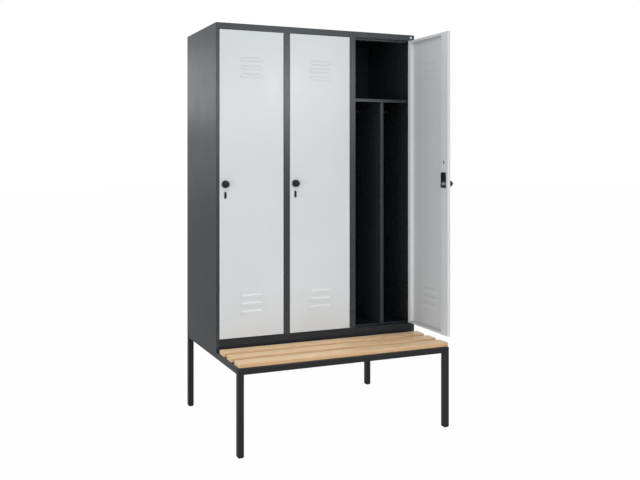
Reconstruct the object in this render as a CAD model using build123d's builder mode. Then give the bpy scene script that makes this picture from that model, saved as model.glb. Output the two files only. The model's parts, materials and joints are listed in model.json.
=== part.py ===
from build123d import *
import math
import os

# A three-compartment clothes locker standing on a bench frame. Millimetres, +Z up, +Y to the back.
# The origin is on the floor, in the middle of the rectangle of the four feet.
# Compartments and doors are numbered from the left. Doors 1 and 2 are shut, the last one is open.

# Overall sizes
width = 1200.0
cabinet_depth = 500.0
cabinet_height = 1703.0
bench_depth = 815.0
frame_top = 427.0
compartments = 3

# Folded sheet steel of the cabinet
sheet = 1.0
bend = 1.5
post_face = 16.3
jamb = 20.0
stop_lip = 12.0
stop_height = 11.0
top_rail = 31.5
base_rail = 64.5
rear_flange = 15.0

# Inside of a compartment
shelf_level = 1334.0
shelf_edge = 16.0
hem_width = 19.0
hem_depth = 12.0
rail_radius = 10.0
rail_wall = 1.5
rail_level = 1282.0
rail_hole_gap = 1.0
bracket_radius = 15.0
bracket_length = 10.0
bracket_floor = 2.0
bracket_fit = 0.1

# Doors
door_gap = 2.7
door_thickness = 18.0
door_lip = 14.0
hinge_channel = 22.0
channel_slope = 5.0
lock_channel = 53.0
hinge_edge = 3.2
hinge_inset = 3.2
open_angle = 89.4

# Hinge pins
pin_radius = 2.0
pin_washer_radius = 3.0
pin_tail = 4.0
pin_length = 12.0
pin_fit = 0.05
pin_press = 0.01
washer_gap = 0.3

# Louvres pressed out of a door
louvre_low = 120.0
louvre_high = 138.0
louvre_pitch = 42.0
louvres = 3
louvre_foot = 134.0
louvre_crest = 102.0
louvre_height = 21.5
louvre_depth = 2.2
louvre_end_slope = 6.0
louvre_nose = 12.0

# Lock: a knob turns a crank, which draws a bolt behind the post
knob_inset = 31.5
knob_level = 800.0
knob_radius = 19.8
knob_rim = 4.0
knob_length = 37.0
knob_gap = 0.5
shaft_radius = 5.0
shaft_grip = 22.0
shaft_fit = 0.08
case_width = 38.0
case_above = 59.0
case_below = 22.0
case_depth = 6.5
case_floor = 3.3
case_wall = 0.9
case_round = 2.0
notch_radius = 6.0
bolt_travel = 7.0
bolt_width = 10.0
bolt_thickness = 2.6
bolt_eye = 9.5
bolt_gap = 0.3
crank_pin = 1.5
crank_disc = 8.0

# Oblong cover under the knob, and the oblong hole above the lock
cover_drop = 57.5
cover_height = 36.0
cover_width = 12.0
cover_proud = 2.0
cover_plug = 4.0
cover_rim = 2.0
cover_fit = 0.2
cover_slot = 3.0
cover_slot_height = 18.0
hole_rise = 113.0
hole_height = 20.0
hole_width = 10.0

# Bench frame of square tube
tube = 30.0
tube_wall = 2.0
tube_corner = 2.5
cap_height = 14.0
cap_round = 10.0
cap_plug = 20.0
cap_fit = 0.3

# Bench slats and their screws
slats = 3
slat_thickness = 23.0
slat_gap = 35.0
slat_setback = 6.0
slat_rear_gap = 28.0
slat_end_left = 8.0
slat_end_right = 1.0
slat_round = 5.0
slat_end_round = 3.0
screw_radius = 2.5
screw_head_radius = 5.0
screw_head = 3.5
screw_bite = 13.0
screw_fit = 0.3
screw_place_share = 0.7

# Bolts that hold the cabinet to the frame
bolt_radius = 3.0
bolt_head_radius = 5.5
bolt_head = 4.0
bolt_length = 12.0

# Small trim on the front
plug_radius = 6.5
plug_proud = 2.0
plug_stem = 3.0
plug_level = 15.0
buffer_radius = 4.0
buffer_gap = 0.3
buffer_inset = 48.0

overrun = 2.0
quarter = 90
round_share = 0.5523

# Places that follow from the sizes
half = width / 2
back = bench_depth / 2
front = back - cabinet_depth
bench_front = -bench_depth / 2
slats_depth = front - bench_front - slat_setback - slat_rear_gap
slat_width = (slats_depth - (slats - 1) * slat_gap) / slats
total = frame_top + cabinet_height
under_top = total - sheet
pitch = width / compartments
centres = [(i - (compartments - 1) / 2) * pitch for i in range(compartments)]
between = [(a + b) / 2 for a, b in zip(centres, centres[1:])]
inner = half - post_face
opening_half = pitch / 2 - post_face
lip_half = opening_half - stop_lip
opening_low = frame_top + base_rail
opening_high = total - top_rail
stop_front = front + jamb
stop_back = stop_front + sheet
back_inside = back - 2 * sheet
shelf_top = frame_top + shelf_level
door_width = 2 * (opening_half - door_gap)
door_height = opening_high - opening_low - 2 * door_gap
door_low = opening_low + door_gap
hinge_y = front + hinge_inset
rail_y = (stop_back + back_inside) / 2
rail_z = frame_top + rail_level


def block(x, y, z, mode=Mode.ADD):
    """A box between two values each of x, y and z, on the plane of the part."""
    with Locations(((x[0] + x[1]) / 2, (y[0] + y[1]) / 2, (z[0] + z[1]) / 2)):
        Box(abs(x[1] - x[0]), abs(y[1] - y[0]), abs(z[1] - z[0]), mode=mode)


def strip(x, y):
    """A rectangle between two values each of x and y, on the plane of the sketch."""
    with Locations(((x[0] + x[1]) / 2, (y[0] + y[1]) / 2)):
        Rectangle(abs(x[1] - x[0]), abs(y[1] - y[0]))


def peg(radius, x, y, z, mode=Mode.ADD):
    """A round bar that stands upright at x and y, between two values of z."""
    with Locations((x, y, (z[0] + z[1]) / 2)):
        Cylinder(radius, z[1] - z[0], mode=mode)


def spike(radius, x, y, z, mode=Mode.ADD):
    """A round bar that runs from front to back at x and z, between two values of y."""
    with Locations(Location((x, (y[0] + y[1]) / 2, z), (quarter, 0, 0))):
        Cylinder(radius, y[1] - y[0], mode=mode)


def save(piece, name):
    """Names a finished piece and writes it."""
    piece.part.label = name
    export_step(piece.part, f"parts/{name}.step")


def walls(number):
    """The x of the left and right inner faces of a compartment."""
    left = centres[number - 1] - pitch / 2 + (sheet if number == 1 else sheet / 2)
    right = centres[number - 1] + pitch / 2 - (sheet if number == compartments else sheet / 2)
    return left, right


def hinge_x(number):
    """The x of a door's hinge axis."""
    return centres[number - 1] + opening_half - door_gap - hinge_edge


def tube_profile():
    """The hollow section of the frame's square tube."""
    RectangleRounded(tube, tube, tube_corner)
    bore = tube - 2 * tube_wall
    RectangleRounded(bore, bore, tube_corner - tube_wall, mode=Mode.SUBTRACT)


def make_legs():
    """Four upright tubes, closed at the top."""
    reach_x, reach_y = half - tube / 2, back - tube / 2
    for row, y in (("front", -reach_y), ("back", reach_y)):
        for side, x in (("left", -reach_x), ("right", reach_x)):
            with BuildPart() as leg:
                with BuildSketch(Plane((x, y, cap_height))):
                    tube_profile()
                extrude(amount=frame_top - tube_wall - cap_height)
                with BuildSketch(Plane((x, y, frame_top - tube_wall))):
                    RectangleRounded(tube, tube, tube_corner)
                extrude(amount=tube_wall)
            save(leg, f"leg_{row}_{side}")


def make_foot_caps():
    """Four plastic end caps, rounded under and plugged into the legs."""
    with BuildPart() as cap:
        for plane in (Plane.XZ, Plane.YZ):
            with BuildSketch(plane) as profile:
                with Locations((0, cap_height / 2)):
                    Rectangle(tube, cap_height)
                fillet(profile.vertices().group_by(Axis.Y)[0], radius=cap_round)
            mode = Mode.ADD if plane == Plane.XZ else Mode.INTERSECT
            extrude(amount=tube / 2, both=True, mode=mode)
        corners = cap.edges().filter_by(Axis.Z)
        fillet(corners, radius=tube_corner)
        side = tube - 2 * (tube_wall + cap_fit)
        with BuildSketch(Plane.XY.offset(cap_height)):
            Rectangle(side, side)
        extrude(amount=cap_plug)
    with BuildPart() as caps:
        with GridLocations(width - tube, bench_depth - tube, 2, 2):
            add(cap.part)
    save(caps, "foot_caps")


def screw_places():
    """The x and y of every slat screw, with the rail that it goes through."""
    places = []
    for i in range(slats):
        y = bench_front + slat_setback + slat_width * screw_place_share + i * (slat_width + slat_gap)
        left = (tube + slat_end_left) / 2 - half
        right = half - (tube + slat_end_right) / 2
        for x, rail in ((left, "left"), (0, "bearer"), (right, "right")):
            places.append((x, y, rail))
    return places


def make_rails():
    """The five horizontal tubes of the frame, and the short bearer under the middle of the slats."""
    level = frame_top - tube / 2
    floor_rail = frame_top - tube
    hold = back - tube / 2
    across = (("front", bench_front + tube / 2), ("middle", front + tube / 2), ("back", hold))
    for name, y in across:
        with BuildPart() as rail:
            with BuildSketch(Plane.YZ.offset(-half + tube)):
                with Locations((y, level)):
                    tube_profile()
            extrude(amount=width - 2 * tube)
            for x in centres:
                if name == "middle":
                    peg(bolt_radius + shaft_fit, x, stop_front - jamb / 2,
                        (level, frame_top + overrun), Mode.SUBTRACT)
                if name == "back":
                    peg(bolt_radius + shaft_fit, x, y, (level, frame_top + overrun), Mode.SUBTRACT)
        save(rail, f"frame_rail_{name}")
    along = (("frame_rail_left", -half + tube / 2, bench_depth - 2 * tube, "left"),
             ("frame_rail_right", half - tube / 2, bench_depth - 2 * tube, "right"),
             ("slat_bearer", 0, front - bench_front - tube, "bearer"))
    for name, x, length, key in along:
        with BuildPart() as rail:
            with BuildSketch(Plane((0, bench_front + tube, 0), x_dir=(1, 0, 0), z_dir=(0, 1, 0))):
                with Locations((x, -level)):
                    tube_profile()
            extrude(amount=length)
            for place_x, place_y, rail_key in screw_places():
                if rail_key == key:
                    peg(screw_radius + screw_fit, place_x, place_y,
                        (floor_rail - overrun, frame_top + overrun), Mode.SUBTRACT)
        save(rail, name)


def make_slats():
    """The bench slats with rounded edges, and the screws that come up into them from below."""
    for i in range(slats):
        low = bench_front + slat_setback + i * (slat_width + slat_gap)
        with BuildPart() as slat:
            block((slat_end_left - half, half - slat_end_right), (low, low + slat_width),
                  (frame_top, frame_top + slat_thickness))
            fillet(slat.edges().filter_by(Axis.X), radius=slat_round)
            fillet(slat.faces().sort_by(Axis.X)[0].edges(), radius=slat_end_round)
            fillet(slat.faces().sort_by(Axis.X)[-1].edges(), radius=slat_end_round)
            for x, y, rail in screw_places():
                if low < y < low + slat_width:
                    peg(screw_radius, x, y, (frame_top, frame_top + screw_bite), Mode.SUBTRACT)
        save(slat, f"slat_{i + 1}")
    with BuildPart() as screws:
        for x, y, rail in screw_places():
            under = frame_top - tube
            peg(screw_radius, x, y, (under, frame_top + screw_bite))
            peg(screw_head_radius, x, y, (under - screw_head, under))
    save(screws, "slat_screws")


def make_sides():
    """Side walls, each folded at the front into half a post with a stop, and at the back into a flange."""
    for name, side in (("left", -1), ("right", 1)):
        def inward(distance):
            return side * (half - distance)

        with BuildPart() as wall:
            with BuildSketch(Plane.XY.offset(frame_top)):
                strip((inward(0), inward(sheet)), (front, back))
                strip((inward(0), inward(post_face)), (front, front + sheet))
                strip((inward(post_face - sheet), inward(post_face)), (front, stop_back))
                strip((inward(post_face - sheet), inward(post_face + stop_lip)), (stop_front, stop_back))
                strip((inward(0), inward(rear_flange)), (back - sheet, back))
            extrude(amount=under_top - frame_top)
            for y in (front, back):
                fillet(wall.edges().filter_by(Axis.Z).sort_by_distance((inward(0), y, total / 2))[0],
                       radius=bend)
        save(wall, f"side_{name}")


def make_dividers():
    """Walls between the compartments, each carrying a closed post with a stop on both sides."""
    for name, x in zip(("left", "right"), between):
        reach = post_face + stop_lip
        with BuildPart() as wall:
            with BuildSketch(Plane.XY.offset(opening_low)):
                strip((x - post_face, x + post_face), (front, front + sheet))
                strip((x - post_face, x - post_face + sheet), (front, stop_back))
                strip((x + post_face - sheet, x + post_face), (front, stop_back))
                strip((x - reach, x + reach), (stop_front, stop_back))
            extrude(amount=opening_high - opening_low)
            block((x - sheet / 2, x + sheet / 2), (stop_front, back_inside), (opening_low, under_top))
        save(wall, f"divider_{name}")


def make_top():
    """The top, folded down in front into the rail over the doors."""
    with BuildPart() as top:
        block((-half, half), (front, back), (under_top, total))
        block((-inner, inner), (front, front + sheet), (opening_high, under_top))
        block((-inner, inner), (front, stop_front), (opening_high, opening_high + sheet))
        for x in centres:
            block((x - lip_half, x + lip_half), (stop_front, stop_back),
                  (opening_high - stop_height, opening_high + sheet))
        fillet(top.edges().filter_by(Axis.X).sort_by_distance((0, front, total))[0], radius=bend)
        for number in range(1, compartments + 1):
            peg(pin_radius + pin_press, hinge_x(number), hinge_y,
                (opening_high - overrun, opening_high + overrun), Mode.SUBTRACT)
        spike(plug_stem + pin_press, inner - plug_radius, (front - overrun, front + overrun),
              total - plug_level, Mode.SUBTRACT)
    save(top, "top_panel")


def make_base():
    """The base, with the floor of the compartments, the rail under the doors and flanges for the bolts."""
    span = half - sheet
    floor = (opening_low - sheet, opening_low)
    hang = (frame_top, opening_low - sheet)
    seat = (frame_top, frame_top + sheet)
    with BuildPart() as base:
        block((-inner, inner), (front, stop_front), floor)
        block((stop_lip - inner, inner - stop_lip), (stop_front, stop_back), floor)
        block((-span, span), (stop_back, back_inside), floor)
        block((-inner, inner), (front, front + sheet), hang)
        block((-inner, inner), (front, stop_front), seat)
        block((-span, span), (back_inside - sheet, back_inside), hang)
        block((-span, span), (back - tube, back_inside), seat)
        for number, x in enumerate(centres, 1):
            block((x - lip_half, x + lip_half), (stop_front, stop_back), (opening_low, opening_low + stop_height))
            peg(pin_radius + pin_press, hinge_x(number), hinge_y,
                (opening_low - overrun, opening_low + overrun), Mode.SUBTRACT)
            for y in (stop_front - jamb / 2, back - tube / 2):
                peg(bolt_radius + shaft_fit, x, y, (frame_top - overrun, frame_top + overrun), Mode.SUBTRACT)
    save(base, "base_panel")


def make_back():
    """The plain back, inside the flanges of the side walls."""
    with BuildPart() as panel:
        block((sheet - half, half - sheet), (back_inside, back - sheet), (frame_top, under_top))
    save(panel, "back_panel")


def make_insides():
    """For each compartment a hat shelf, a partition below it and a clothes rail through the partition."""
    for number, x in enumerate(centres, 1):
        left, right = walls(number)
        under_shelf = shelf_top - sheet
        edge_low = shelf_top - shelf_edge
        with BuildPart() as shelf:
            block((left, right), (stop_back, back_inside), (under_shelf, shelf_top))
            block((left, right), (stop_back, stop_back + sheet), (edge_low, under_shelf))
            block((left, left + sheet), (stop_back, back_inside), (edge_low, under_shelf))
            block((right - sheet, right), (stop_back, back_inside), (edge_low, under_shelf))
        save(shelf, f"shelf_{number}")
        hem = stop_back + sheet
        with BuildPart() as partition:
            block((x - hem_width / 2, x + hem_width / 2), (hem, hem + sheet), (opening_low, under_shelf))
            for side in (-1, 1):
                block((x + side * hem_width / 2, x + side * (hem_width / 2 - sheet)),
                      (hem, hem + hem_depth), (opening_low, under_shelf))
            block((x - sheet / 2, x + sheet / 2), (hem, back_inside), (opening_low, under_shelf))
            with Locations(Location((x, rail_y, rail_z), (0, quarter, 0))):
                Cylinder(rail_radius + rail_hole_gap, hem_width, mode=Mode.SUBTRACT)
        save(partition, f"partition_{number}")
        with BuildPart() as rail:
            with BuildSketch(Plane.YZ.offset(left + bracket_floor)):
                with Locations((rail_y, rail_z)):
                    Circle(rail_radius)
                    Circle(rail_radius - rail_wall, mode=Mode.SUBTRACT)
            extrude(amount=right - left - 2 * bracket_floor)
        save(rail, f"clothes_rail_{number}")


def make_rail_brackets():
    """Round cups on the walls that hold the ends of the clothes rails."""
    with BuildPart() as brackets:
        for number in range(1, compartments + 1):
            for wall, way in zip(walls(number), (1, -1)):
                with BuildSketch(Plane.YZ.offset(wall)):
                    with Locations((rail_y, rail_z)):
                        Circle(bracket_radius)
                extrude(amount=way * bracket_length)
                with BuildSketch(Plane.YZ.offset(wall + way * bracket_floor)):
                    with Locations((rail_y, rail_z)):
                        Circle(rail_radius + bracket_fit)
                extrude(amount=way * bracket_length, mode=Mode.SUBTRACT)
    save(brackets, "rail_brackets")


def make_hinge_pins():
    """A pin above and below each door. The lower one has a washer that carries the door."""
    with BuildPart() as pins:
        for number in range(1, compartments + 1):
            x = hinge_x(number)
            peg(pin_radius, x, hinge_y, (opening_high - pin_length, opening_high + sheet + pin_tail))
            peg(pin_radius, x, hinge_y, (opening_low - sheet - pin_tail, opening_low + pin_length))
            peg(pin_washer_radius, x, hinge_y, (opening_low, door_low - washer_gap))
    save(pins, "hinge_pins")


def make_cabinet_bolts():
    """Hexagon bolts down through the base into the frame."""
    with BuildPart() as bolts:
        for x in centres:
            for y in (stop_front - jamb / 2, back - tube / 2):
                seat = frame_top + sheet
                peg(bolt_radius, x, y, (seat - bolt_length, seat))
                with BuildSketch(Plane((x, y, seat))):
                    RegularPolygon(bolt_head_radius, 6)
                extrude(amount=bolt_head)
    save(bolts, "cabinet_bolts")


def make_trim():
    """A blank round plug on the top rail, and rubber buffers on the stops at the free edge of each door."""
    with BuildPart() as plug:
        x, z = inner - plug_radius, total - plug_level
        spike(plug_radius, x, (front - plug_proud, front), z)
        fillet(plug.edges().sort_by(Axis.Y)[0], radius=plug_proud / 2)
        spike(plug_stem, x, (front, front + sheet), z)
    save(plug, "badge_plug")
    with BuildPart() as buffers:
        for x in centres:
            edge = x - opening_half + stop_lip / 2
            for z in (opening_low + buffer_inset, opening_high - buffer_inset):
                spike(buffer_radius, edge, (front + door_thickness + buffer_gap, stop_front), z)
    save(buffers, "door_buffers")


# Sizes in a door's own frame: x runs from the free edge to the hinge, y from front to back,
# and the hinge axis is at x = y = 0
door_left = hinge_edge - door_width
door_right = hinge_edge
door_face = -hinge_inset
door_rear = door_face + door_thickness
knob_x = door_left + knob_inset
hinge_channel_x = (door_right - sheet - hinge_channel, door_right - sheet)
lock_channel_x = (door_left + sheet, door_left + sheet + lock_channel)
crank = bolt_travel / math.sqrt(2)
crank_side = bolt_travel / 2


def door_plane(number):
    """The plane of a door, with its origin on the hinge axis at the door's foot."""
    angle = math.radians(open_angle) if number == compartments else 0
    along = (math.cos(angle), math.sin(angle), 0)
    return Plane((hinge_x(number), hinge_y, door_low), x_dir=along, z_dir=(0, 0, 1))


def outward(plane, x, y, z):
    """A plane that faces out of the front of a door, at a place in the door's frame."""
    at = plane.from_local_coords(Vector(x, y, z))
    return Plane(at, x_dir=plane.x_dir, z_dir=-plane.y_dir)


def hood(low, high, inset):
    """The form of one louvre, between two distances out of a face at y = 0, with its mouth at z = 0."""
    foot, crest = louvre_foot / 2 - inset, louvre_crest / 2 - inset
    nose = foot - louvre_end_slope
    with BuildPart() as form:
        with BuildSketch(Plane.XZ.offset(low)):
            with BuildLine():
                Polyline((-foot, 0), (foot, 0), (crest, louvre_height - inset),
                         (-crest, louvre_height - inset), close=True)
            make_face()
        with BuildSketch(Plane.XZ.offset(high)):
            with BuildLine():
                Polyline((-nose, 0), (nose, 0), (nose, louvre_nose), (-nose, louvre_nose), close=True)
            make_face()
        loft(ruled=True)
    return form.part


def make_door_skin(name, plane):
    """The pressed pan of the door, with louvres, pin holes and the holes of the lock."""
    raised = hood(0, louvre_depth, 0)
    pressed = hood(-sheet, louvre_depth - sheet, sheet)
    with BuildPart(plane) as skin:
        block((door_left, door_right), (door_face, door_rear), (0, door_height))
        fillet(skin.faces().sort_by(Axis(plane.origin, plane.y_dir))[0].edges(), radius=bend)
        block((door_left + sheet, door_right - sheet), (door_face + sheet, door_rear + overrun),
              (sheet, door_height - sheet), Mode.SUBTRACT)
        lip_x = (lock_channel_x[1], hinge_channel_x[0])
        for z in ((0, door_lip), (door_height - door_lip, door_height)):
            block(lip_x, (door_rear - sheet, door_rear), z)
        for z in (0, door_height):
            peg(pin_radius + pin_fit, 0, 0, (z - overrun, z + overrun), Mode.SUBTRACT)
        rows = [louvre_low + i * louvre_pitch for i in range(louvres)]
        rows += [door_height - louvre_high - louvre_height - i * louvre_pitch for i in range(louvres)]
        with Locations(*[((door_left + door_right) / 2, door_face, z) for z in rows]):
            add(raised)
            add(pressed, mode=Mode.SUBTRACT)
        spike(shaft_radius + shaft_fit, knob_x, (door_face - overrun, door_face + overrun),
              knob_level, Mode.SUBTRACT)
        with BuildSketch(outward(plane, knob_x, door_face, knob_level - cover_drop)):
            opening = cover_width - 2 * cover_rim + 2 * cover_fit
            SlotOverall(cover_height - 2 * cover_rim + 2 * cover_fit, opening, rotation=quarter)
        extrude(amount=-overrun, mode=Mode.SUBTRACT)
    save(skin, f"{name}_skin")


def make_door_channels(name, plane):
    """The stiffening channels inside the door, along the hinge edge and along the lock edge."""
    inside = (sheet, door_height - sheet)
    depth = (door_face + sheet, door_rear - sheet)
    with BuildPart(plane) as channel:
        x = hinge_channel_x
        block(x, (door_rear - sheet, door_rear), inside)
        foot = x[0] - channel_slope
        with BuildSketch(plane.offset(sheet)):
            with BuildLine():
                Polyline((x[0], depth[1]), (x[0] + sheet, depth[1]), (foot + sheet, depth[0]), (foot, depth[0]),
                         close=True)
            make_face()
        extrude(amount=door_height - 2 * sheet)
    save(channel, f"{name}_hinge_channel")
    with BuildPart(plane) as channel:
        x = lock_channel_x
        block(x, (door_rear - sheet, door_rear), inside)
        block((x[1] - sheet, x[1]), depth, inside)
        spike(shaft_radius + shaft_fit, knob_x, (door_rear - overrun, door_rear + overrun),
              knob_level, Mode.SUBTRACT)
        with BuildSketch(outward(plane, knob_x, door_rear, knob_level + hole_rise)):
            SlotOverall(hole_height, hole_width, rotation=quarter)
        extrude(amount=overrun, mode=Mode.SUBTRACT)
    save(channel, f"{name}_lock_channel")


def make_lock_case(name, plane):
    """The case of the lock on the inside of the door, with an open groove for the bolt."""
    left = knob_x - case_width / 2
    right = knob_x + case_width / 2
    low, high = knob_level - case_below, knob_level + case_above
    rear = door_rear + case_depth
    groove = (door_rear + case_floor, rear + overrun)
    eye = bolt_eye + bolt_gap
    bar = bolt_width / 2 + bolt_gap
    with BuildPart(plane) as case:
        block((left, right), (door_rear, rear), (low, high))
        fillet(case.faces().sort_by(Axis(plane.origin, plane.y_dir))[-1].edges(), radius=case_round)
        block((knob_x - eye - bolt_travel, knob_x + eye), groove, (knob_level - eye, knob_level + eye),
              Mode.SUBTRACT)
        block((left - overrun, knob_x), groove, (knob_level - bar, knob_level + bar), Mode.SUBTRACT)
        spike(crank_disc + bolt_gap, knob_x, (door_rear + case_wall, rear), knob_level, Mode.SUBTRACT)
        spike(shaft_radius + shaft_fit, knob_x, (door_rear - overrun, rear), knob_level, Mode.SUBTRACT)
        spike(notch_radius, knob_x, (door_rear - overrun, rear + overrun), low, Mode.SUBTRACT)
    save(case, f"{name}_lock_case")


def make_bolt(name, plane):
    """The sliding bolt, an eye round the crank pin and a bar that points at the free edge."""
    y = (door_rear + case_floor + bolt_gap, door_rear + case_floor + bolt_gap + bolt_thickness)
    slot = crank_pin + bolt_gap
    with BuildPart(plane) as bolt:
        spike(bolt_eye, knob_x, y, knob_level)
        block((knob_x - case_width / 2 + bolt_gap, knob_x), y,
              (knob_level - bolt_width / 2, knob_level + bolt_width / 2))
        block((knob_x + crank_side - slot, knob_x + crank_side + slot), y,
              (knob_level + crank_side - slot, knob_level + crank + slot), Mode.SUBTRACT)
    save(bolt, f"{name}_bolt")


def make_knob(name, plane):
    """The domed knob, and the shaft with its crank disc and crank pin."""
    bolt_back = door_rear + case_floor + bolt_gap + bolt_thickness
    with BuildPart(plane) as knob:
        at = plane.from_local_coords(Vector(knob_x, door_face, knob_level))
        with BuildSketch(Plane(at, x_dir=plane.x_dir, z_dir=plane.z_dir)):
            with BuildLine():
                Polyline((0, -knob_length), (0, -knob_gap), (knob_radius, -knob_gap), (knob_radius, -knob_rim))
                swell = knob_rim + round_share * (knob_length - knob_rim)
                Bezier((knob_radius, -knob_rim), (knob_radius, -swell),
                       (knob_radius * round_share, -knob_length), (0, -knob_length))
            make_face()
        revolve(axis=Axis(at, plane.y_dir))
        spike(shaft_radius + pin_press, knob_x, (door_face - shaft_grip, door_face), knob_level, Mode.SUBTRACT)
    save(knob, f"{name}_knob")
    with BuildPart(plane) as shaft:
        disc_back = door_rear + case_floor - bolt_gap
        spike(shaft_radius, knob_x, (door_face - shaft_grip, disc_back), knob_level)
        spike(crank_disc, knob_x, (door_rear + case_wall + bolt_gap, disc_back), knob_level)
        spike(crank_pin, knob_x + crank_side, (disc_back, bolt_back), knob_level + crank_side)
    save(shaft, f"{name}_shaft")


def make_slot_cover(name, plane):
    """The oblong cover under the knob, plugged through the door."""
    level = knob_level - cover_drop
    with BuildPart(plane) as cover:
        with BuildSketch(outward(plane, knob_x, door_face, level)):
            SlotOverall(cover_height, cover_width, rotation=quarter)
        extrude(amount=cover_proud)
        with BuildSketch(outward(plane, knob_x, door_face, level)):
            SlotOverall(cover_height - 2 * cover_rim, cover_width - 2 * cover_rim, rotation=quarter)
        extrude(amount=-cover_plug)
        with BuildSketch(outward(plane, knob_x, door_face - cover_proud, level)):
            SlotOverall(cover_slot_height, cover_slot, rotation=quarter)
        extrude(amount=-cover_plug, mode=Mode.SUBTRACT)
    save(cover, f"{name}_slot_cover")


os.makedirs("parts", exist_ok=True)
make_legs()
make_foot_caps()
make_rails()
make_slats()
make_sides()
make_dividers()
make_top()
make_base()
make_back()
make_insides()
make_rail_brackets()
make_hinge_pins()
make_cabinet_bolts()
make_trim()
for door in range(1, compartments + 1):
    door_name = f"door_{door}"
    stand = door_plane(door)
    make_door_skin(door_name, stand)
    make_door_channels(door_name, stand)
    make_lock_case(door_name, stand)
    make_bolt(door_name, stand)
    make_knob(door_name, stand)
    make_slot_cover(door_name, stand)
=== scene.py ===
import json
import math
import re

import bmesh
import bpy
from mathutils import Matrix, Vector


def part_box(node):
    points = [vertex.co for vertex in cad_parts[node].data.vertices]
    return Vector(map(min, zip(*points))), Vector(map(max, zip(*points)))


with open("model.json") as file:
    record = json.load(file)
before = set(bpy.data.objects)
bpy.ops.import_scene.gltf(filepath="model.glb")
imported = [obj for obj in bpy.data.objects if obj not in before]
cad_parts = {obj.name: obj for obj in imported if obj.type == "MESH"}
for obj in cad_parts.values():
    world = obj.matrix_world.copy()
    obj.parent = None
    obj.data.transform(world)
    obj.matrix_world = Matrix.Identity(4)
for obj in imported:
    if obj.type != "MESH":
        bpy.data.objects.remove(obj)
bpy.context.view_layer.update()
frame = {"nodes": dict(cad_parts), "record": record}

# Where the bench begins and how far apart its slats lie, in metres
bench_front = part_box("slat_1")[0].y
slat_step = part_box("slat_2")[0].y - bench_front

# The middle of a noise, which runs from 0 to 1
noise_middle = 0.5

# Colours with their opacity, as shaders take them
white = (1, 1, 1, 1)
fill_white = (0.97, 0.985, 1.0, 1)
floor_white = (0.8, 0.8, 0.8, 1)


class Wire:
    """The output socket of a node; sums and products of wires add Math nodes to their coat."""

    def __init__(self, coat, socket):
        self.coat, self.socket = coat, socket

    def __add__(self, other):
        return self.coat.maths("ADD", self, other)

    def __sub__(self, other):
        return self.coat.maths("SUBTRACT", self, other)

    def __rsub__(self, other):
        return self.coat.maths("SUBTRACT", other, self)

    def __mul__(self, other):
        return self.coat.maths("MULTIPLY", self, other)

    def __truediv__(self, other):
        return self.coat.maths("DIVIDE", self, other)

    def __rtruediv__(self, other):
        return self.coat.maths("DIVIDE", other, self)

    __radd__ = __add__
    __rmul__ = __mul__


class Coat:
    """The node tree of a material or of the world, put together node by node."""

    def __init__(self, owner):
        owner.use_nodes = True
        self.owner, self.tree = owner, owner.node_tree
        self.tree.nodes.clear()

    def node(self, kind, settings, sockets, out=0):
        """Adds a node with its settings, fills or links its inputs, and gives one of its outputs."""
        added = self.tree.nodes.new("ShaderNode" + kind)
        for key, value in settings.items():
            if key == "stops":
                ramp = added.color_ramp.elements
                while len(ramp) < len(value):
                    ramp.new(1.0)
                for stop, (position, colour) in zip(ramp, value):
                    stop.position, stop.color = position, colour
            else:
                setattr(added, key, value)
        for key, value in sockets.items():
            if isinstance(value, Wire):
                self.tree.links.new(value.socket, added.inputs[key])
            else:
                added.inputs[key].default_value = value
        return Wire(self, added.outputs[out]) if added.outputs else None

    def maths(self, operation, first, second=0.0):
        return self.node("Math", {"operation": operation}, {0: first, 1: second})

    def place(self):
        """Where a point of the surface is in the row frame, in metres."""
        return self.node("TexCoord", {}, {}, "Object")

    def along(self, vector, axis):
        """A vector's part along an axis."""
        return self.node("SeparateXYZ", {}, {"Vector": vector}, axis)

    def facing(self, axis):
        """How squarely a surface faces along an axis, either way."""
        normal = self.node("NewGeometry", {}, {}, "Normal")
        return self.maths("ABSOLUTE", self.along(normal, axis))

    def stretch(self, where, waves):
        """The place scaled along each axis, so that a plain noise has so many waves in a metre there."""
        return self.node("Mapping", {}, {"Vector": where, "Scale": waves})

    def noise(self, where, waves=1.0, detail=2.0, rough=0.5, bend=0.0):
        """Cloudy noise from 0 to 1, with so many waves in a metre."""
        return self.node("TexNoise", {}, {
            "Vector": where, "Scale": waves, "Detail": detail,
            "Roughness": rough, "Distortion": bend}, "Fac")

    def spread(self, value, low, high):
        """Spreads the part of a signal between low and high over 0 to 1."""
        limits = {"Value": value, "From Min": low, "From Max": high}
        return self.node("MapRange", {"clamp": True}, limits)

    def blend(self, share, first, second):
        """The first colour with a share of the second laid over it."""
        # The places of a Mix node's colour sockets, since its number sockets have the same names
        first_colour, second_colour, mixed_colour = 6, 7, 2
        return self.node("Mix", {"data_type": "RGBA"}, {
            0: share, first_colour: first, second_colour: second}, mixed_colour)

    def bump(self, height, depth):
        """A normal that follows a height of 0 to 1, so many metres deep."""
        return self.node("Bump", {}, {"Height": height, "Distance": depth})

    def seen(self, *rays):
        """1 for a ray of one of these kinds, 0 for the others."""
        found = [self.node("LightPath", {}, {}, f"Is {ray} Ray") for ray in rays]
        return found[0] if len(found) == 1 else self.maths("MAXIMUM", *found)

    def mix(self, share, first, second):
        """The first shader with a share of the second."""
        return self.node("MixShader", {}, {0: share, 1: first, 2: second})

    def glow(self, strength):
        return self.node("Emission", {}, {"Color": white, "Strength": strength})

    def sky(self, colour, strength):
        return self.node("Background", {}, {"Color": colour, "Strength": strength})

    def finish(self, **sockets):
        """The coat's skin: the shader with these sockets, as the material's surface."""
        named = {key.replace("_", " "): value for key, value in sockets.items()}
        skin = self.node("BsdfPrincipled", {}, named)
        self.node("OutputMaterial", {}, {"Surface": skin})
        return self.owner


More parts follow.
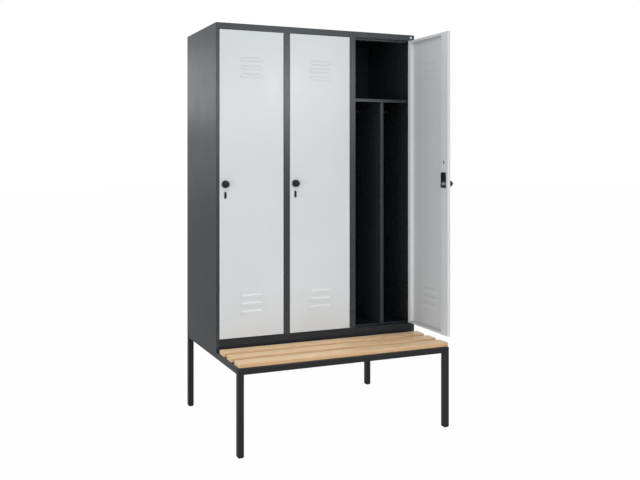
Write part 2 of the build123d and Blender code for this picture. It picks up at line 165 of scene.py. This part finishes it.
def tone(red, green, blue):
    """A colour as paint charts give it, 0 to 255, as the linear colour that a shader takes."""
    def linear(value):
        share = value / 255
        return share / 12.92 if share <= 0.04045 else ((share + 0.055) / 1.055) ** 2.4
    return linear(red), linear(green), linear(blue), 1.0


def powder_coat(name, low, high, gloss=0.3, pebbles=1500, depth=0.00004):
    """Powder paint baked on sheet steel: pebbled skin, slow drift of tone, gloss broken by handling."""
    speck_colour, speck_gloss, rub_gloss = 0.35, 0.05, 0.12
    grain_height, peel_height = 0.55, 0.45
    coat = Coat(bpy.data.materials.new(name))
    place = coat.place()
    drift = coat.noise(place, waves=2.6, detail=3)
    rubbed = coat.noise(coat.stretch(place, (9, 9, 4)), detail=6, rough=0.6)
    peel = coat.noise(place, waves=190, detail=1)
    grain = coat.noise(place, waves=pebbles)
    speck = coat.spread(grain, low=0.62, high=0.78)
    colour = coat.blend(coat.spread(drift, low=0.3, high=0.7), low, high)
    colour = coat.blend(speck * speck_colour, colour, high)
    return coat.finish(
        Base_Color=colour,
        Roughness=gloss + rub_gloss * (rubbed - noise_middle) + speck_gloss * speck,
        Normal=coat.bump(grain_height * grain + peel_height * peel, depth))


def lacquered_beech():
    """Beech slats: growth bands, fine fibre, rosy patches, short dark rays, pores on the sawn ends, and
    painted shade on the long faces toward front and back.
    """
    band_colour, ring_colour, fibre_colour = 0.5, 0.2, 0.3
    rosy_share, ray_share, painted_side_shade_share, pore_share = 0.3, 0.4, 0.55, 0.4
    lacquer_gloss, fibre_gloss, sawn_gloss = 0.42, 0.16, 0.1
    pore_height, ray_height = 0.6, 0.5
    coat = Coat(bpy.data.materials.new("lacquered beech"))
    place = coat.place()

    # Each slat is sawn from another place of the tree
    board = coat.maths("FLOOR", (coat.along(place, "Y") - bench_front) / slat_step)
    moved = coat.node("CombineXYZ", {}, {"X": board * 3.7, "Y": board * 1.3, "Z": board * 2.1})
    wood = coat.node("VectorMath", {"operation": "ADD"}, {0: place, 1: moved})

    bands = coat.noise(coat.stretch(wood, (0.9, 14, 14)), detail=3, rough=0.55, bend=0.6)
    rings = coat.node("TexWave", {"bands_direction": "Y"}, {
        "Vector": coat.stretch(wood, (0.25, 1, 1)), "Scale": 24.0, "Distortion": 9.0,
        "Detail": 2.0, "Detail Scale": 0.9}, "Fac")
    fibre = coat.noise(coat.stretch(wood, (14, 900, 900)), detail=4, rough=0.65)
    colour = coat.node("ValToRGB", {"stops": [
        (0.0, tone(211, 173, 127)), (0.45, tone(225, 192, 149)), (1.0, tone(235, 209, 170))]}, {
        "Fac": band_colour * bands + ring_colour * rings + fibre_colour * fibre})
    blush = coat.noise(coat.stretch(wood, (5, 16, 16)))
    rosy = coat.spread(blush, low=0.42, high=0.62)
    colour = coat.blend(rosy * rosy_share, colour, tone(231, 191, 155))
    flecks = coat.noise(coat.stretch(wood, (160, 1500, 1500)), detail=1)
    rays = coat.spread(flecks, low=0.66, high=0.74)
    colour = coat.blend(rays * ray_share, colour, tone(172, 126, 82))

    # The long faces toward front and back are darkened as painted shade, and the sawn ends show their
    # pores
    painted_side_shade = coat.spread(coat.facing("Y"), low=0.25, high=0.8)
    colour = coat.blend(painted_side_shade * painted_side_shade_share, colour, tone(186, 144, 98))
    sawn = coat.spread(coat.facing("X"), low=0.5, high=0.7)
    pores = coat.noise(coat.stretch(wood, (200, 1700, 1700)))
    open_pores = coat.spread(pores, low=0.45, high=0.7)
    colour = coat.blend(sawn * open_pores * pore_share, colour, tone(190, 150, 108))
    return coat.finish(
        Base_Color=colour,
        Roughness=lacquer_gloss + fibre_gloss * (fibre - noise_middle) + sawn_gloss * sawn,
        Normal=coat.bump(fibre + pore_height * pores * sawn - ray_height * rays, depth=0.00008),
        Coat_Weight=0.12, Coat_Roughness=0.3)


def moulded_plastic(name, low, high, gloss, grains, depth):
    """Moulded plastic: eroded grain from the mould, faint flow of tone, polished rubbed places."""
    grain_gloss, rub_gloss = 0.1, 0.08
    coat = Coat(bpy.data.materials.new(name))
    place = coat.place()
    flow = coat.noise(place, waves=30, detail=3, bend=0.8)
    grain = coat.noise(place, waves=grains)
    rubbed = coat.spread(coat.noise(place, waves=60, detail=5, rough=0.6), low=0.45, high=0.7)
    return coat.finish(
        Base_Color=coat.blend(coat.spread(flow, low=0.3, high=0.7), low, high),
        Roughness=gloss + grain_gloss * (grain - noise_middle) - rub_gloss * rubbed,
        Normal=coat.bump(grain, depth))


def plated_steel(name, low, high, metal, gloss):
    """Plated steel: drawing lines along the bar, cloudy passivation and a few dull spots."""
    dull_metal, cloud_gloss, dull_gloss = 0.25, 0.14, 0.1
    coat = Coat(bpy.data.materials.new(name))
    place = coat.place()
    drawn = coat.noise(coat.stretch(place, (60, 900, 900)), detail=3)
    cloud = coat.noise(place, waves=45, detail=4, rough=0.6)
    dull = coat.spread(coat.noise(place, waves=160, detail=3), low=0.6, high=0.72)
    return coat.finish(
        Base_Color=coat.blend(coat.spread(cloud, low=0.35, high=0.65), low, high),
        Metallic=metal - dull_metal * dull,
        Roughness=gloss + cloud_gloss * cloud + dull_gloss * dull,
        Normal=coat.bump(drawn, depth=0.00003))


# The finish of each material slot in the record
slot_finishes = {
    "anthracite_steel": powder_coat(
        "anthracite powder coat", tone(46, 52, 57), tone(51, 57, 62), gloss=0.28),
    "anthracite_frame": powder_coat(
        "frame powder coat", tone(29, 31, 34), tone(33, 35, 38),
        gloss=0.32, pebbles=1300, depth=0.00005),
    "door_grey": powder_coat(
        "light grey powder coat", tone(205, 208, 210), tone(210, 213, 215), depth=0.00003),
    "beech": lacquered_beech(),
    "black_plastic": moulded_plastic(
        "black moulded plastic", tone(14, 14, 16), tone(20, 20, 22),
        gloss=0.5, grains=2400, depth=0.00005),
    "bright_steel": plated_steel(
        "zinc plated steel", tone(176, 178, 180), tone(206, 206, 202), metal=0.95, gloss=0.3),
    "buffer_rubber": moulded_plastic(
        "grey buffer rubber", tone(150, 150, 148), tone(168, 168, 165),
        gloss=0.6, grains=1800, depth=0.00006),
    "plug_grey": moulded_plastic(
        "grey badge plastic", tone(205, 207, 208), tone(214, 215, 216),
        gloss=0.35, grains=2200, depth=0.00003),
}

# Pieces whose finish differs from their slot's, by their names without the numbers
piece_finishes = {
    # The lock channel's grey is a little lighter than the door's: painted light on the channel's face
    "door_lock_channel": powder_coat(
        "lock channel coat with painted light", tone(209, 213, 216), tone(214, 217, 219), depth=0.00003),
    # The hinge channel's grey is lighter than the door's: painted light on the channel's bright return
    # face
    "door_hinge_channel": powder_coat(
        "hinge channel coat with painted light", tone(226, 229, 231), tone(231, 234, 236), depth=0.00003),
    "door_bolt": plated_steel(
        "satin nickel", tone(158, 161, 164), tone(178, 180, 182), metal=0.35, gloss=0.45),
    "clothes_rail": plated_steel(
        "dull drawn tube", tone(96, 92, 86), tone(118, 114, 108), metal=0.8, gloss=0.4),
    # The plinth's coat is darker than the body's: painted shade under the doors, above the bench
    "base_panel": powder_coat(
        "plinth coat with painted shade", tone(21, 29, 37), tone(25, 33, 41), gloss=0.32),
    "frame_rail_left": slot_finishes["anthracite_steel"],
    "frame_rail_right": slot_finishes["anthracite_steel"],
}

for part in frame["record"]["subparts"]:
    name = part["node"]
    unnumbered = re.sub(r"_\d", "", name)
    finish = piece_finishes.get(unnumbered) or slot_finishes[part["material_slot"]]
    skin = frame["nodes"][name].data.materials
    skin.clear()
    skin.append(finish)


def studio_floor(camera_share, mirror_strength):
    """The pale floor: nearly white to the camera, with the object's shadow, and grey in mirrors."""
    across, thick = 60, 0.02
    coat = Coat(bpy.data.materials.new("pale studio floor"))
    matt = coat.node("BsdfDiffuse", {}, {"Color": floor_white})
    shown = coat.mix(coat.seen("Camera", "Transmission") * camera_share, matt, coat.glow(1.0))
    surface = coat.mix(coat.seen("Glossy"), shown, coat.glow(mirror_strength))
    coat.node("OutputMaterial", {}, {"Surface": surface})
    slab = bmesh.new()
    sunk = Matrix.Translation((0, 0, -thick / 2)) @ Matrix.Diagonal((across, across, thick, 1))
    bmesh.ops.create_cube(slab, size=1.0, matrix=sunk)
    mesh = bpy.data.meshes.new("studio_floor")
    slab.to_mesh(mesh)
    slab.free()
    mesh.materials.append(coat.owner)
    floor = bpy.data.objects.new("studio_floor", mesh)
    bpy.context.scene.collection.objects.link(floor)


def studio_room(fill_strength, mirror_strength):
    """The room: the lamps' fill on the object, white to the camera, and light grey in mirrors."""
    air = Coat(bpy.data.worlds.new("studio"))
    bpy.context.scene.world = air.owner
    fill, backdrop = air.sky(fill_white, fill_strength), air.sky(white, 1.0)
    shown = air.mix(air.seen("Camera", "Transmission"), fill, backdrop)
    surface = air.mix(air.seen("Glossy"), shown, air.sky(white, mirror_strength))
    air.node("OutputWorld", {}, {"Surface": surface})


def softbox(name, where, towards, across, high, power, spread=180):
    """A large soft lamp that faces a point, with the angle over which its light spreads."""
    lamp = bpy.data.lights.new(name, "AREA")
    lamp.shape, lamp.size, lamp.size_y, lamp.energy = "RECTANGLE", across, high, power
    lamp.spread = math.radians(spread)
    holder = bpy.data.objects.new(name, lamp)
    holder.location = where
    holder.rotation_euler = (Vector(towards) - Vector(where)).to_track_quat("-Z", "Y").to_euler()
    bpy.context.scene.collection.objects.link(holder)


def photo_view(where, turned_right, focal_length, shift_across, shift_up):
    """The camera of the photograph: level, at breast height, to the left of the locker."""
    view = bpy.data.cameras.new("photo_view")
    view.sensor_fit, view.sensor_width, view.lens = "HORIZONTAL", 36.0, focal_length
    view.shift_x, view.shift_y = shift_across, shift_up
    eye = bpy.data.objects.new("photo_view", view)
    eye.location = where
    level = math.radians(90)
    eye.rotation_euler = (level, 0, -math.radians(turned_right))
    bpy.context.scene.collection.objects.link(eye)
    bpy.context.scene.camera = eye


studio_floor(camera_share=0.975, mirror_strength=0.33)
studio_room(fill_strength=0.86, mirror_strength=0.6)

# The posts mirror the key softbox and the left side wall mirrors the back one, the bench softbox
# brightens the slats, and the other two light evenly
softbox("key_softbox", where=(1.61, -4.3, 2.2), towards=(-0.285, -0.09, 1.81),
        across=1.5, high=0.7, power=27)
softbox("back_softbox", where=(-1.85, 3.95, 2.22), towards=(-0.6, 0.15, 1.86),
        across=1.6, high=0.75, power=2.8)
softbox("left_softbox", where=(-4.0, -2.4, 0.8), towards=(0.4, -0.2, 0.7),
        across=2.4, high=1.0, power=32)
softbox("overhead_softbox", where=(0.0, -0.8, 4.6), towards=(0.0, -0.2, 0.4),
        across=3.2, high=2.4, power=8)
softbox("bench_softbox", where=(-0.15, -1.5, 2.8), towards=(-0.1, -0.28, 0.45),
        across=1.4, high=0.4, power=0.93, spread=40)

photo_view(where=(-1.85513, -3.64369, 1.42556), turned_right=20.29, focal_length=41.19,
           shift_across=0.14584, shift_up=-0.12686)
bpy.context.scene.view_settings.view_transform = "Standard"
